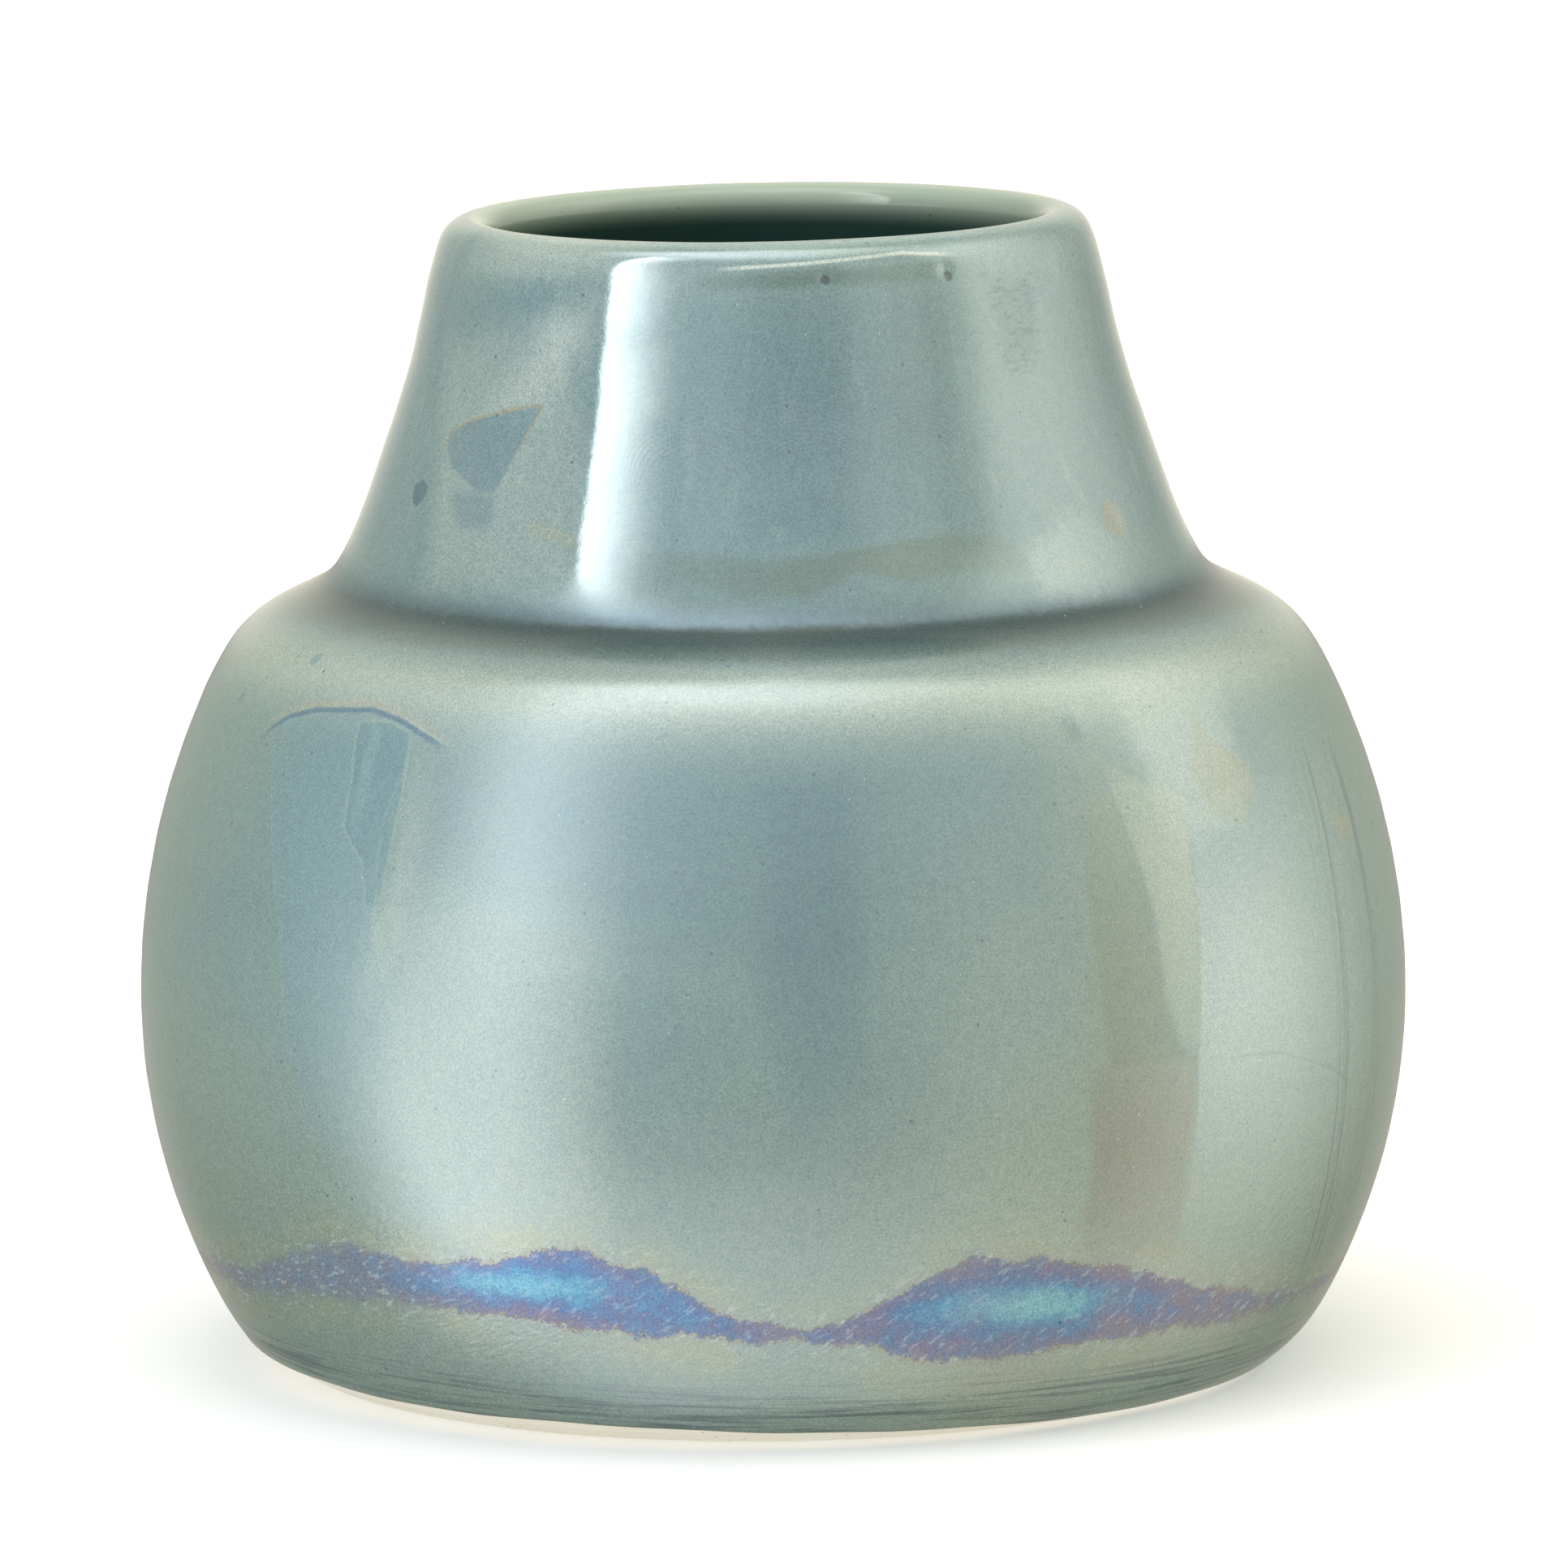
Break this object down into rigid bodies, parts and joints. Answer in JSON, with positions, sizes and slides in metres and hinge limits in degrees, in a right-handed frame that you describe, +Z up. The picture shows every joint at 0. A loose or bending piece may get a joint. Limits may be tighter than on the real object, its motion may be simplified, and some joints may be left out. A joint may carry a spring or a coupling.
{
  "type": "stoneware vase",
  "caption": "Round-bellied stoneware vase with a shoulder groove, an inward-flaring neck and an open mouth, lustre-glazed outside, on a bare turned foot.",
  "frame": {"origin": "on the axis, in the plane of the foot ring's land, which it stands on", "axes": "+Z up along the axis of revolution; -Y faces the viewer of the picture"},
  "size_m": [0.15, 0.15, 0.1357],
  "materials": {
    "clay": "fired bare stoneware, matt and slightly sandy",
    "lustre_glaze": "glossy grey-green glaze under a mother-of-pearl lustre",
    "liner_glaze": "glossy dark grey-green glaze"
  },
  "bodies": {
    "root": {"foot_ring": "clay", "belly": "clay", "neck": "clay", "outer_glaze": "lustre_glaze", "liner_glaze": "liner_glaze"}
  },
  "joints": []
}
